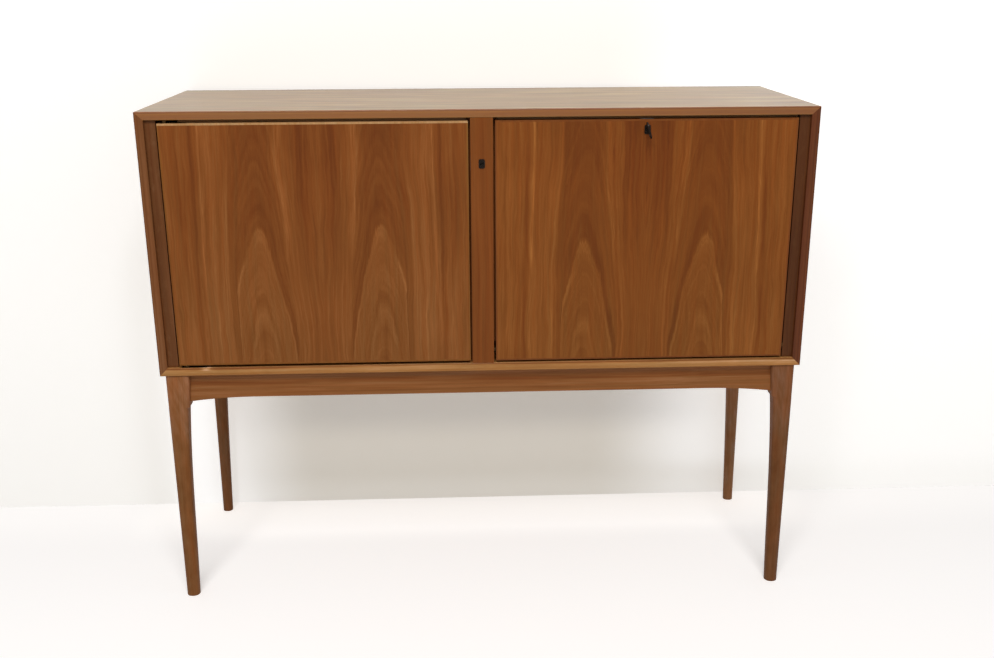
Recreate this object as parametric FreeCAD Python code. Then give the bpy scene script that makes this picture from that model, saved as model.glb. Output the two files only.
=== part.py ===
import FreeCAD, Part
import math
import os

# Bar cabinet on legs: a veneered case with a side-hung door on the left and a
# drop-down flap on the right, carried by a frame of tapered legs and rails.
# X runs along the width, Y from front to back, Z up. All sizes in millimetres.
# While a piece is being made its Y counts from the front plane of the case.

# ---- case ----
case_width = 1200.0
case_depth = 400.0
case_height = 484.0
floor_to_case = 466.0
panel_thickness = 15.0
front_bevel = 3.0
front_arris = 1.6
outer_corner_radius = 2.0
back_thickness = 8.0
back_recess = 1.0
back_rebate_width = 8.0
back_edge_gap = 0.5
back_screw_pitch = 230.0
back_screw_edge = 4.0
partition_thickness = 18.0
stile_width = 40.0
stile_depth = 20.0
stile_recess = 3.0
stile_lip_width = 6.0
stile_lip_depth = 7.5
stile_lip_rise = 14.0
strip_width = 19.0
strip_depth = 20.0
strip_recess = 9.0

# ---- door ----
front_side_gap = 4.0
door_recess = 1.0
door_thickness = 19.0
door_bottom_gap = 5.8
door_top_gap = 5.6
door_top_lipping = 3.5
door_lipping = 3.0
door_pivot_inset = 12.0
door_pivot_depth = 8.0

# ---- flap ----
flap_recess = 3.0
flap_thickness = 19.0
flap_bottom_gap = 4.4
flap_top_gap = 5.4
flap_lipping = 3.0
laminate_thickness = 1.0
flap_pivot_depth = 11.5
flap_sweep_clearance = 1.1

# ---- knife hinges of the door ----
hinge_plate_length = 46.0
hinge_plate_width = 8.5
hinge_plate_thickness = 2.5
hinge_plate_overlap = 9.0
hinge_pin_radius = 2.5
hinge_pin_reach = 5.0
hinge_boss_radius = 4.0
pin_well_clearance = 0.5
thrust_gap = 0.3

# ---- pivots of the flap ----
flap_pin_radius = 3.0
flap_pin_in_frame = 12.0
flap_bush_radius = 5.0
flap_bush_length = 12.0
flap_collar_radius = 5.5

# ---- fits ----
running_clearance = 0.05
loose_clearance = 0.4
slide_clearance = 0.3
fit_gap = 0.1

# ---- locks ----
lock_cover_wood = 3.5
lock_bore_length = 3.0
lock_back_wall = 1.0
lock_case_half_width = 13.0
lock_case_tail = 14.0
plug_radius = 4.6
plug_stand_out = 0.6
cam_thickness = 1.8
cam_pin_circle = 7.07
cam_pin_radius = 1.5
bolt_thickness = 3.5
bolt_half_width = 10.5
bolt_tail = 10.0
bolt_throw = 10.0
bolt_slot_play = 0.55
strike_thickness = 2.0
strike_border = 4.0
strike_depth_border = 2.2
strike_pocket_extra = 1.5
escutcheon_width = 11.0
escutcheon_height = 16.5
escutcheon_corner = 3.0
escutcheon_thickness = 1.0
door_lock_below_top = 96.0
flap_lock_below_top = 17.7

# ---- key ----
key_lean = 16.0
key_blade_thickness = 1.2
key_blade_height = 7.0
key_slot_play = 0.3
key_slot_end_wall = 0.5
key_shank_radius = 2.4
key_shank_gap = 0.8
key_bow_start = 8.0
key_bow_width = 17.0
key_bow_height = 30.0
key_bow_thickness = 2.4
key_bow_rim = 4.0

# ---- flap stays ----
stay_edge_distance = 10.0
stay_pin_height = 179.0
stay_pin_stand_off = 8.0
stay_guide_lag = 16.0
flap_travel = 90.0
stay_rod_radius = 3.0
stay_eye_radius = 6.0
stay_eye_margin = 0.5
stay_pin_radius = 2.5
stay_pin_head_radius = 4.0
stay_pin_head_thickness = 1.5
stay_ear_thickness = 3.0
stay_bracket_height = 26.0
stay_bracket_width = 16.0
stay_bracket_base = 2.0
stay_collar_radius = 5.5
stay_collar_length = 6.0
stay_stop_gap = 0.6
guide_block_size = 14.0
guide_block_width = 12.0
guide_spigot_radius = 4.0
guide_spigot_length = 12.0
guide_boss_radius = 8.0
guide_flange_radius = 14.0
guide_flange_thickness = 3.0

# ---- shelves and stops ----
shelf_thickness = 16.0
shelf_end_play = 1.0
cupboard_shelf_rise = 234.0
cupboard_shelf_setback = 40.0
bar_shelf_rise = 325.0
bar_shelf_depth = 190.0
shelf_pin_radius = 2.5
shelf_pin_length = 20.0
shelf_pin_stand_out = 9.0
shelf_pin_end_distance = 35.0
stop_height = 14.0
stop_depth = 12.0
stop_hinge_room = 32.0
stop_end_play = 1.0

# ---- leg frame ----
leg_inset_side = 6.5
leg_inset_front = 3.5
front_leg_top = 45.0
back_leg_top = 37.5
front_leg_widths = (35.7, 31.7, 28.0, 24.9)
back_leg_widths = (30.8, 27.6, 23.7, 21.2)
leg_section_heights = (393.0, 308.0, 154.0, 0.0)
leg_cove_width = 3.8
leg_cove_height = 8.0
leg_cove_turns = (0, 20, 40, 60, 75, 90)
leg_depth_ratio = 0.96
leg_foot_set_in = 3.0
front_leg_splay = 1.7
back_leg_splay = 4.2
leg_corner_share_top = 0.16
leg_corner_share_foot = 0.46
rail_height = 48.0
rail_thickness = 20.0
rail_set_back = 10.5
rail_tenon_length = 16.0
rail_tenon_thickness = 9.0
rail_tenon_shoulder = 7.0
rail_curve_length = 120.0
rail_curve_drop = 7.5
rail_scribe = 6.5
corner_block_leg = 55.0
corner_block_height = 34.0
frame_screw_pitch = 360.0

# ---- wood screws ----
screw_radius = 1.75
screw_head_radius = 3.4
screw_head_height = 1.7
back_screw_length = 22.0
hinge_screw_length = 12.0
frame_screw_length = 45.0
frame_screw_radius = 2.25

# ---- derived positions ----
key_stand_out = key_bow_start + key_bow_width - flap_recess
case_bottom_z = floor_to_case
case_top_z = floor_to_case + case_height
inner_bottom_z = case_bottom_z + panel_thickness
inner_top_z = case_top_z - panel_thickness
half_width = case_width / 2
inner_half_width = half_width - panel_thickness
back_inner_y = case_depth - back_recess - back_thickness
half_stile = stile_width / 2
half_partition = partition_thickness / 2
stile_back_y = stile_recess + stile_depth

door_left_x = -inner_half_width + strip_width + front_side_gap
door_right_x = -half_stile - front_side_gap
door_bottom_z = inner_bottom_z + door_bottom_gap
door_top_z = inner_top_z - door_top_gap
door_back_y = door_recess + door_thickness
door_pivot_x = door_left_x + door_pivot_inset
door_pivot_y = door_recess + door_pivot_depth

flap_left_x = half_stile + front_side_gap
flap_right_x = inner_half_width - strip_width - front_side_gap
flap_bottom_z = inner_bottom_z + flap_bottom_gap
flap_top_z = inner_top_z - flap_top_gap
flap_back_y = flap_recess + flap_thickness
flap_pivot_y = flap_recess + flap_pivot_depth
# The flap's lower front corner swings past the case bottom with this much to spare.
flap_drop_room = flap_bottom_gap - flap_sweep_clearance
flap_pivot_rise = (flap_pivot_depth ** 2 - flap_drop_room ** 2) / (2 * flap_drop_room)
flap_pivot_z = flap_bottom_z + flap_pivot_rise
flap_centre_x = (flap_left_x + flap_right_x) / 2

# The finished part is centred front to back on its overall depth, key included.
front_plane_y = -(case_depth - key_stand_out) / 2

UP = FreeCAD.Vector(0, 0, 1)
ALONG_X = FreeCAD.Vector(1, 0, 0)
ALONG_Y = FreeCAD.Vector(0, 1, 0)
ORIGIN = FreeCAD.Vector(0, 0, 0)

os.makedirs("parts", exist_ok=True)


# ---- shape helpers ----
def point(x, y, z):
    return FreeCAD.Vector(x, y, z)


def box(x0, x1, y0, y1, z0, z1):
    return Part.makeBox(x1 - x0, y1 - y0, z1 - z0, point(x0, y0, z0))


def cylinder(radius, start, end):
    along = end - start
    return Part.makeCylinder(radius, along.Length, start, along)


def wire_of(points):
    return Part.makePolygon(points + [points[0]])


def prism(points, travel):
    return Part.Face(wire_of(points)).extrude(travel)


def turned(shape, centre, axis, degrees):
    copy = shape.copy()
    copy.rotate(centre, axis, degrees)
    return copy


def moved(shape, x, y, z):
    copy = shape.copy()
    copy.translate(point(x, y, z))
    return copy


def mirrored_x(shape, plane_x=0.0):
    return shape.mirror(point(plane_x, 0, 0), ALONG_X)


def edges_along(shape, direction, keep):
    found = []
    for edge in shape.Edges:
        first = edge.Vertexes[0].Point
        last = edge.Vertexes[-1].Point
        along = last - first
        if along.Length < 1e-6:
            continue
        along.normalize()
        if abs(abs(along.dot(direction)) - 1) < 1e-6 and keep(first):
            found.append(edge)
    return found


def save(node, pieces):
    if isinstance(pieces, list):
        shape = Part.makeCompound(pieces)
    else:
        shape = pieces
    shape = moved(shape, 0, front_plane_y, 0)
    shape.exportStep("parts/" + node + ".step")


def screw(head_centre, direction, length, radius=screw_radius, extra=0.0):
    # Countersunk wood screw: flat conical head, plain shank. With a little
    # extra all round it is the hole the screw sits in.
    direction = point(direction.x, direction.y, direction.z)
    direction.normalize()
    head = Part.makeCone(
        screw_head_radius + extra, radius + extra, screw_head_height, head_centre, direction
    )
    shank = Part.makeCylinder(radius + extra, length + extra, head_centre, direction)
    return head.fuse(shank).removeSplitter()


def rounded_rectangle(width, depth, radius, centre):
    # Wire of eight edges in a level plane, width along X and depth along Y.
    half_w = width / 2
    half_d = depth / 2
    edges = []
    corners = (
        (half_w - radius, half_d - radius, 0),
        (-half_w + radius, half_d - radius, 90),
        (-half_w + radius, -half_d + radius, 180),
        (half_w - radius, -half_d + radius, 270),
    )
    arcs = []
    for corner_x, corner_y, start in corners:
        middle = centre + point(corner_x, corner_y, 0)
        arc_points = []
        for turn in (0, 45, 90):
            angle = math.radians(start + turn)
            arc_points.append(middle + point(radius * math.cos(angle), radius * math.sin(angle), 0))
        arcs.append(arc_points)
    for index, arc_points in enumerate(arcs):
        following = arcs[(index + 1) % len(arcs)]
        edges.append(Part.Arc(*arc_points).toShape())
        edges.append(Part.makeLine(arc_points[2], following[0]))
    return Part.Wire(edges)


# ---- case ----
def case_section():
    # Section of a case panel: first coordinate front to back, second from
    # the inner face outwards. The front edge slopes inwards, and the back
    # edge is rebated for the back panel.
    rebate_y = back_inner_y
    return (
        (0.0, panel_thickness),
        (front_bevel, 0.0),
        (rebate_y, 0.0),
        (rebate_y, back_rebate_width),
        (case_depth, back_rebate_width),
        (case_depth, panel_thickness),
    )


def level_panel(inner_z, outward):
    points = []
    for y, outer in case_section():
        points.append(point(-half_width, y, inner_z + outward * outer))
    bar = prism(points, point(case_width, 0, 0))
    front_edges = edges_along(bar, ALONG_X, lambda p: p.y < front_bevel + 1)
    bar = bar.makeFillet(front_arris, front_edges)
    outer_z = inner_z + outward * panel_thickness
    mitre = [
        point(-half_width, 0, outer_z),
        point(half_width, 0, outer_z),
        point(inner_half_width, 0, inner_z),
        point(-inner_half_width, 0, inner_z),
    ]
    return bar.common(prism(mitre, point(0, case_depth, 0)))


def upright_panel(side):
    points = []
    for y, outer in case_section():
        points.append(point(side * (inner_half_width + outer), y, case_bottom_z))
    bar = prism(points, point(0, 0, case_height))
    front_edges = edges_along(bar, UP, lambda p: p.y < front_bevel + 1)
    bar = bar.makeFillet(front_arris, front_edges)
    mitre = [
        point(side * half_width, 0, case_bottom_z),
        point(side * half_width, 0, case_top_z),
        point(side * inner_half_width, 0, inner_top_z),
        point(side * inner_half_width, 0, inner_bottom_z),
    ]
    return bar.common(prism(mitre, point(0, case_depth, 0)))


envelope = box(-half_width, half_width, 0, case_depth, case_bottom_z, case_top_z)
envelope = envelope.makeFillet(outer_corner_radius, edges_along(envelope, ALONG_Y, lambda p: True))

top_panel = level_panel(inner_top_z, 1).common(envelope)
bottom_panel = level_panel(inner_bottom_z, -1).common(envelope)
left_panel = upright_panel(-1).common(envelope)
right_panel = upright_panel(1).common(envelope)

back_half_width = inner_half_width + back_rebate_width - back_edge_gap
back_low_z = inner_bottom_z - back_rebate_width + back_edge_gap
back_high_z = inner_top_z + back_rebate_width - back_edge_gap
back_face_y = case_depth - back_recess
back_panel = box(
    -back_half_width, back_half_width, back_inner_y, back_face_y, back_low_z, back_high_z
)

back_screw_points = []
screws_across = int(2 * back_half_width // back_screw_pitch)
for index in range(screws_across + 1):
    screw_x = (index / screws_across * 2 - 1) * (back_half_width - 2 * back_screw_edge)
    for screw_z in (back_low_z + back_screw_edge, back_high_z - back_screw_edge):
        back_screw_points.append(point(screw_x, back_face_y, screw_z))
screws_up = int((back_high_z - back_low_z) // back_screw_pitch) + 1
for index in range(1, screws_up):
    screw_z = back_low_z + (back_high_z - back_low_z) * index / screws_up
    for screw_x in (-back_half_width + back_screw_edge, back_half_width - back_screw_edge):
        back_screw_points.append(point(screw_x, back_face_y, screw_z))

back_screws = []
for place in back_screw_points:
    back_screws.append(screw(place, -ALONG_Y, back_screw_length))
    hole = screw(place, -ALONG_Y, back_screw_length, screw_radius, fit_gap)
    back_panel = back_panel.cut(hole)
    top_panel = top_panel.cut(hole)
    bottom_panel = bottom_panel.cut(hole)
    left_panel = left_panel.cut(hole)
    right_panel = right_panel.cut(hole)

partition = box(
    -half_partition, half_partition, stile_back_y, back_inner_y, inner_bottom_z, inner_top_z
)
stile = box(-half_stile, half_stile, stile_recess, stile_back_y, inner_bottom_z, inner_top_z)
# A lip behind the stile closes the gap to each front. On the flap's side it
# starts above the edge that swings inwards.
lip_inner_x = half_partition + fit_gap
lip_outer_x = half_stile + stile_lip_width
lip_back_y = stile_back_y + stile_lip_depth
lip_low_z = flap_pivot_z + stile_lip_rise
door_lip = box(-lip_outer_x, -lip_inner_x, stile_back_y, lip_back_y, inner_bottom_z, inner_top_z)
flap_lip = box(lip_inner_x, lip_outer_x, stile_back_y, lip_back_y, lip_low_z, inner_top_z)
stile = stile.fuse([door_lip, flap_lip]).removeSplitter()
strip_back_y = strip_recess + strip_depth
left_strip = box(
    -inner_half_width, -inner_half_width + strip_width,
    strip_recess, strip_back_y, inner_bottom_z, inner_top_z
)
right_strip = box(
    inner_half_width - strip_width, inner_half_width,
    strip_recess, strip_back_y, inner_bottom_z, inner_top_z
)

# ---- door ----
door_solid = box(door_left_x, door_right_x, door_recess, door_back_y, door_bottom_z, door_top_z)
door_core_low_z = door_bottom_z + door_lipping
door_core_high_z = door_top_z - door_top_lipping
door_panel = box(
    door_left_x + door_lipping, door_right_x - door_lipping,
    door_recess, door_back_y, door_core_low_z, door_core_high_z
)
door_lippings = [
    box(door_left_x, door_right_x, door_recess, door_back_y, door_core_high_z, door_top_z),
    box(door_left_x, door_right_x, door_recess, door_back_y, door_bottom_z, door_core_low_z),
    box(door_left_x, door_left_x + door_lipping,
        door_recess, door_back_y, door_core_low_z, door_core_high_z),
    box(door_right_x - door_lipping, door_right_x,
        door_recess, door_back_y, door_core_low_z, door_core_high_z),
]


def cut_all(shapes, tool):
    return [shape.cut(tool) for shape in shapes]


# Each knife hinge is a pair of flat plates let in flush: the case plate
# carries the pivot pin and its bearing boss, the door plate turns on it.
hinge_half_width = hinge_plate_width / 2
case_plates = []
door_plates = []
case_hinge_screws = []
door_hinge_screws = []


def hinge_plate_box(start_x, end_x, low_z, high_z):
    return box(
        start_x, end_x,
        door_pivot_y - hinge_half_width, door_pivot_y + hinge_half_width, low_z, high_z
    )


def make_hinge(case_face_z, door_face_z, outward):
    # outward points from the door towards the case panel, +1 at the top.
    global top_panel, bottom_panel, door_panel, door_lippings
    case_deep_z = case_face_z + outward * hinge_plate_thickness
    door_deep_z = door_face_z - outward * hinge_plate_thickness
    plate_start_x = door_pivot_x - hinge_plate_overlap
    case_plate = hinge_plate_box(
        plate_start_x, plate_start_x + hinge_plate_length,
        min(case_face_z, case_deep_z), max(case_face_z, case_deep_z)
    )
    pin_end_z = door_deep_z - outward * hinge_pin_reach
    pin = cylinder(
        hinge_pin_radius,
        point(door_pivot_x, door_pivot_y, case_deep_z),
        point(door_pivot_x, door_pivot_y, pin_end_z)
    )
    boss = cylinder(
        hinge_boss_radius,
        point(door_pivot_x, door_pivot_y, case_face_z),
        point(door_pivot_x, door_pivot_y, door_face_z + outward * thrust_gap)
    )
    door_plate = hinge_plate_box(
        plate_start_x, plate_start_x + hinge_plate_length,
        min(door_face_z, door_deep_z), max(door_face_z, door_deep_z)
    )
    eye = cylinder(
        hinge_pin_radius + running_clearance,
        point(door_pivot_x, door_pivot_y, door_face_z + outward),
        point(door_pivot_x, door_pivot_y, door_deep_z - outward)
    )
    well = cylinder(
        hinge_pin_radius + pin_well_clearance,
        point(door_pivot_x, door_pivot_y, door_face_z),
        point(door_pivot_x, door_pivot_y, pin_end_z - outward * pin_well_clearance)
    )
    case_pocket = case_plate.copy()
    door_pocket = door_plate.fuse(well)
    case_plate = case_plate.fuse([pin, boss]).removeSplitter()
    door_plate = door_plate.cut(eye)
    for share in (0.5, 0.85):
        screw_x = plate_start_x + hinge_plate_length * share
        case_head = point(screw_x, door_pivot_y, case_face_z)
        door_head = point(screw_x, door_pivot_y, door_face_z)
        case_hinge_screws.append(screw(case_head, UP * outward, hinge_screw_length))
        door_hinge_screws.append(screw(door_head, UP * -outward, hinge_screw_length))
        case_hole = screw(case_head, UP * outward, hinge_screw_length, screw_radius, fit_gap)
        door_hole = screw(door_head, UP * -outward, hinge_screw_length, screw_radius, fit_gap)
        case_plate = case_plate.cut(case_hole)
        door_plate = door_plate.cut(door_hole)
        case_pocket = case_pocket.fuse(case_hole)
        door_pocket = door_pocket.fuse(door_hole)
    case_plates.append(case_plate)
    door_plates.append(door_plate)
    top_panel = top_panel.cut(case_pocket)
    bottom_panel = bottom_panel.cut(case_pocket)
    door_panel = door_panel.cut(door_pocket)
    door_lippings = cut_all(door_lippings, door_pocket)


make_hinge(inner_top_z, door_top_z, 1)
make_hinge(inner_bottom_z, door_bottom_z, -1)

# ---- flap ----
flap_wood_back_y = flap_back_y - laminate_thickness
flap_core_low_z = flap_bottom_z + flap_lipping
flap_core_high_z = flap_top_z - flap_lipping
flap_core_left_x = flap_left_x + flap_lipping
flap_core_right_x = flap_right_x - flap_lipping
flap_panel = box(
    flap_core_left_x, flap_core_right_x,
    flap_recess, flap_wood_back_y, flap_core_low_z, flap_core_high_z
)
flap_laminate = box(
    flap_core_left_x, flap_core_right_x,
    flap_wood_back_y, flap_back_y, flap_core_low_z, flap_core_high_z
)
flap_lippings = [
    box(flap_left_x, flap_right_x, flap_recess, flap_back_y, flap_core_high_z, flap_top_z),
    box(flap_left_x, flap_right_x, flap_recess, flap_back_y, flap_bottom_z, flap_core_low_z),
    box(flap_left_x, flap_core_left_x,
        flap_recess, flap_back_y, flap_core_low_z, flap_core_high_z),
    box(flap_core_right_x, flap_right_x,
        flap_recess, flap_back_y, flap_core_low_z, flap_core_high_z),
]

# A steel pin in the stile and one in the right strip carry the flap, each
# turning in a bush pressed into the end of the flap.
flap_pins = []
flap_bushes = []


def flap_pivot_point(x):
    return point(x, flap_pivot_y, flap_pivot_z)


for edge_x, inward in ((flap_left_x, 1), (flap_right_x, -1)):
    frame_x = edge_x - inward * front_side_gap
    pin_end_x = edge_x + inward * (flap_bush_length - thrust_gap)
    pin_root = flap_pivot_point(frame_x - inward * flap_pin_in_frame)
    shaft = cylinder(flap_pin_radius, pin_root, flap_pivot_point(pin_end_x))
    collar = cylinder(
        flap_collar_radius, flap_pivot_point(frame_x),
        flap_pivot_point(edge_x - inward * thrust_gap)
    )
    bush = cylinder(
        flap_bush_radius, flap_pivot_point(edge_x),
        flap_pivot_point(edge_x + inward * flap_bush_length)
    )
    bore = cylinder(
        flap_pin_radius + running_clearance, flap_pivot_point(edge_x - inward),
        flap_pivot_point(edge_x + inward * (flap_bush_length + 1))
    )
    frame_hole = cylinder(
        flap_pin_radius + fit_gap,
        flap_pivot_point(frame_x - inward * (flap_pin_in_frame + fit_gap)),
        flap_pivot_point(frame_x)
    )
    stile = stile.cut(frame_hole)
    right_strip = right_strip.cut(frame_hole)
    flap_panel = flap_panel.cut(bush)
    flap_lippings = cut_all(flap_lippings, bush)
    flap_pins.append(shaft.fuse(collar).removeSplitter())
    flap_bushes.append(bush.cut(bore))


# ---- locks ----
# A lock is made with its plug axis along Y at the origin and its bolt
# pointing up. Depth counts from the wood's face.
case_front = lock_cover_wood
cam_front = case_front + lock_bore_length + slide_clearance / 2
cam_back = cam_front + cam_thickness
bolt_front = cam_back + 2 * slide_clearance
bolt_back = bolt_front + bolt_thickness
channel_front = bolt_front - slide_clearance
channel_back = bolt_back + slide_clearance
case_back = channel_back + lock_back_wall
cam_radius = cam_pin_circle + cam_pin_radius + 1.0
cam_pin_rest = math.radians(225)
cam_pin_x = cam_pin_circle * math.sin(cam_pin_rest)
cam_pin_z = cam_pin_circle * math.cos(cam_pin_rest)
key_slot_depth = case_front + lock_bore_length - key_slot_end_wall
bolt_middle = (bolt_front + bolt_back) / 2


def lock_case(edge_distance):
    shell = box(
        -lock_case_half_width, lock_case_half_width,
        case_front, case_back, -lock_case_tail, edge_distance
    )
    plug_bore = cylinder(
        plug_radius + running_clearance, point(0, case_front - 1, 0), point(0, channel_back, 0)
    )
    cam_room = cylinder(
        cam_radius + loose_clearance,
        point(0, case_front + lock_bore_length, 0), point(0, channel_back, 0)
    )
    channel = box(
        -bolt_half_width - slide_clearance, bolt_half_width + slide_clearance,
        channel_front, channel_back, -bolt_tail - slide_clearance, edge_distance + 1
    )
    return shell.cut(plug_bore.fuse([cam_room, channel]))


def lock_plug():
    barrel = cylinder(plug_radius, point(0, -plug_stand_out, 0), point(0, cam_front, 0))
    cam = cylinder(cam_radius, point(0, cam_front, 0), point(0, cam_back, 0))
    pin = cylinder(
        cam_pin_radius,
        point(cam_pin_x, cam_back, cam_pin_z),
        point(cam_pin_x, bolt_back - slide_clearance, cam_pin_z)
    )
    half_slot = key_blade_thickness / 2 + key_slot_play
    slot_reach = key_blade_height / 2 + key_slot_play
    slot = box(-half_slot, half_slot, -plug_stand_out, key_slot_depth, -slot_reach, slot_reach)
    return barrel.fuse([cam, pin]).cut(turned(slot, ORIGIN, ALONG_Y, -key_lean))


def lock_bolt(edge_distance):
    bar = box(
        -bolt_half_width, bolt_half_width,
        bolt_front, bolt_back, -bolt_tail, edge_distance - slide_clearance
    )
    slot_low = cam_pin_z - cam_pin_radius - bolt_slot_play
    slot_high = cam_pin_z + cam_pin_radius + bolt_slot_play
    slot_left = -cam_pin_circle - cam_pin_radius - loose_clearance
    slot_right = cam_pin_x + cam_pin_radius + loose_clearance
    slot = box(slot_left, slot_right, bolt_front - 1, bolt_back + 1, slot_low, slot_high)
    return bar.cut(slot)


def escutcheon():
    outline = rounded_rectangle(
        escutcheon_width, escutcheon_height, escutcheon_corner, ORIGIN
    )
    plate = Part.Face(outline).extrude(point(0, 0, escutcheon_thickness))
    plate = turned(plate, ORIGIN, ALONG_X, 90)
    hole = cylinder(
        plug_radius + loose_clearance,
        point(0, -escutcheon_thickness - 1, 0), point(0, 1, 0)
    )
    return plate.cut(hole)


def lock_room(edge_distance):
    shell = box(
        -lock_case_half_width - fit_gap, lock_case_half_width + fit_gap,
        case_front - fit_gap, case_back + fit_gap, -lock_case_tail - fit_gap, edge_distance + 1
    )
    plug_hole = cylinder(
        plug_radius + loose_clearance, point(0, -1, 0), point(0, case_front + 1, 0)
    )
    return shell.fuse(plug_hole)


def strike(reach):
    # Plate and pocket for the bolt end, in the wood opposite. The plate lies
    # flush at height 0 and the pocket goes up.
    plate_half = bolt_half_width + strike_border
    plate_front = bolt_front - strike_depth_border
    plate_back = bolt_back + strike_depth_border
    mouth = box(
        -bolt_half_width - loose_clearance, bolt_half_width + loose_clearance,
        bolt_front - loose_clearance, bolt_back + loose_clearance, -1, reach
    )
    plate = box(-plate_half, plate_half, plate_front, plate_back, 0, strike_thickness)
    return plate.cut(mouth), plate.fuse(mouth)


door_lock_z = case_top_z - door_lock_below_top


def to_stile(shape):
    # Turns the bolt to point left and sets the lock in the stile.
    laid = turned(shape, ORIGIN, ALONG_Y, -90)
    return moved(laid, 0, stile_recess, door_lock_z)


flap_lock_z = flap_top_z - flap_lock_below_top


def to_flap(shape):
    return moved(shape, flap_centre_x, flap_recess, flap_lock_z)


door_lock_case = to_stile(lock_case(half_stile))
door_lock_plug = to_stile(turned(lock_plug(), ORIGIN, ALONG_Y, 0))
door_lock_bolt = to_stile(lock_bolt(half_stile))
door_escutcheon = moved(escutcheon(), 0, stile_recess, door_lock_z)
stile = stile.cut(to_stile(lock_room(half_stile)))

flap_lock_case = to_flap(lock_case(flap_lock_below_top))
flap_lock_plug = to_flap(lock_plug())
flap_lock_bolt = to_flap(lock_bolt(flap_lock_below_top))
flap_escutcheon = to_flap(escutcheon())
flap_lock_room = to_flap(lock_room(flap_lock_below_top))
flap_panel = flap_panel.cut(flap_lock_room)
flap_lippings = cut_all(flap_lippings, flap_lock_room)

bolt_reach_door = bolt_throw - slide_clearance - front_side_gap + strike_pocket_extra
bolt_reach_top = bolt_throw - slide_clearance - flap_top_gap + strike_pocket_extra
door_strike, door_strike_room = strike(bolt_reach_door)
door_strike = moved(door_strike, 0, 0, half_stile + front_side_gap)
door_strike_room = moved(door_strike_room, 0, 0, half_stile + front_side_gap)
door_strike = to_stile(door_strike)
door_strike_room = to_stile(door_strike_room)
door_panel = door_panel.cut(door_strike_room)
door_lippings = cut_all(door_lippings, door_strike_room)
flap_strike, flap_strike_room = strike(bolt_reach_top)
flap_strike = moved(flap_strike, flap_centre_x, flap_recess, inner_top_z)
flap_strike_room = moved(flap_strike_room, flap_centre_x, flap_recess, inner_top_z)
top_panel = top_panel.cut(flap_strike_room)


# ---- key ----
def make_key():
    half_blade = key_blade_thickness / 2
    blade_end = key_slot_depth - key_slot_play
    blade = box(
        -half_blade, half_blade, -plug_stand_out - key_shank_gap, blade_end,
        -key_blade_height / 2, key_blade_height / 2
    )
    shank = cylinder(
        key_shank_radius,
        point(0, -key_bow_start - key_bow_rim / 2, 0),
        point(0, -plug_stand_out - key_shank_gap, 0)
    )
    bow_centre = point(0, -key_bow_start - key_bow_width / 2, 0)
    bow_outline = rounded_rectangle(
        key_bow_height, key_bow_width, key_bow_width / 2 - fit_gap, ORIGIN
    )
    hole_outline = rounded_rectangle(
        key_bow_height - 2 * key_bow_rim, key_bow_width - 2 * key_bow_rim,
        key_bow_width / 2 - key_bow_rim - fit_gap, ORIGIN
    )
    lift = point(0, 0, key_bow_thickness)
    bow = Part.Face(bow_outline).extrude(lift).cut(Part.Face(hole_outline).extrude(lift))
    bow = moved(bow, 0, 0, -key_bow_thickness / 2)
    bow = turned(bow, ORIGIN, ALONG_Y, 90)
    bow = moved(bow, 0, bow_centre.y, 0)
    return turned(blade.fuse([shank, bow]), ORIGIN, ALONG_Y, -key_lean)


flap_key = to_flap(make_key())

# ---- flap stays ----
# A rod pinned to the flap slides through a guide that swivels on the case.
# Rod pin and guide lie on one circle about the flap's pivot, so the rod
# turns half as far as the flap.
stay_pin_y = flap_back_y + stay_pin_stand_off
stay_pin_z = flap_bottom_z + stay_pin_height
pin_from_pivot_y = stay_pin_y - flap_pivot_y
pin_from_pivot_z = stay_pin_z - flap_pivot_z
stay_circle = math.hypot(pin_from_pivot_y, pin_from_pivot_z)
guide_angle = math.atan2(pin_from_pivot_y, pin_from_pivot_z) + math.radians(stay_guide_lag)
guide_y = flap_pivot_y + stay_circle * math.sin(guide_angle)
guide_z = flap_pivot_z + stay_circle * math.cos(guide_angle)
open_reach = 2 * stay_circle * math.sin(math.radians(stay_guide_lag + flap_travel) / 2)
collar_start = open_reach + guide_block_size / 2 + stay_stop_gap
rod_direction = point(0, guide_y - stay_pin_y, guide_z - stay_pin_z)
rod_direction.normalize()
rod_tilt = math.degrees(math.atan2(rod_direction.z, rod_direction.y))
half_eye = stay_rod_radius + stay_eye_margin


def stay_rod(x):
    start = point(x, stay_pin_y, stay_pin_z)
    eye = cylinder(stay_eye_radius, start - ALONG_X * half_eye, start + ALONG_X * half_eye)
    shank = cylinder(stay_rod_radius, start, start + rod_direction * collar_start)
    collar = cylinder(
        stay_collar_radius, start + rod_direction * collar_start,
        start + rod_direction * (collar_start + stay_collar_length)
    )
    bore = cylinder(
        stay_pin_radius + running_clearance,
        start - ALONG_X * stay_eye_radius, start + ALONG_X * stay_eye_radius
    )
    return eye.fuse([shank, collar]).cut(bore)


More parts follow.
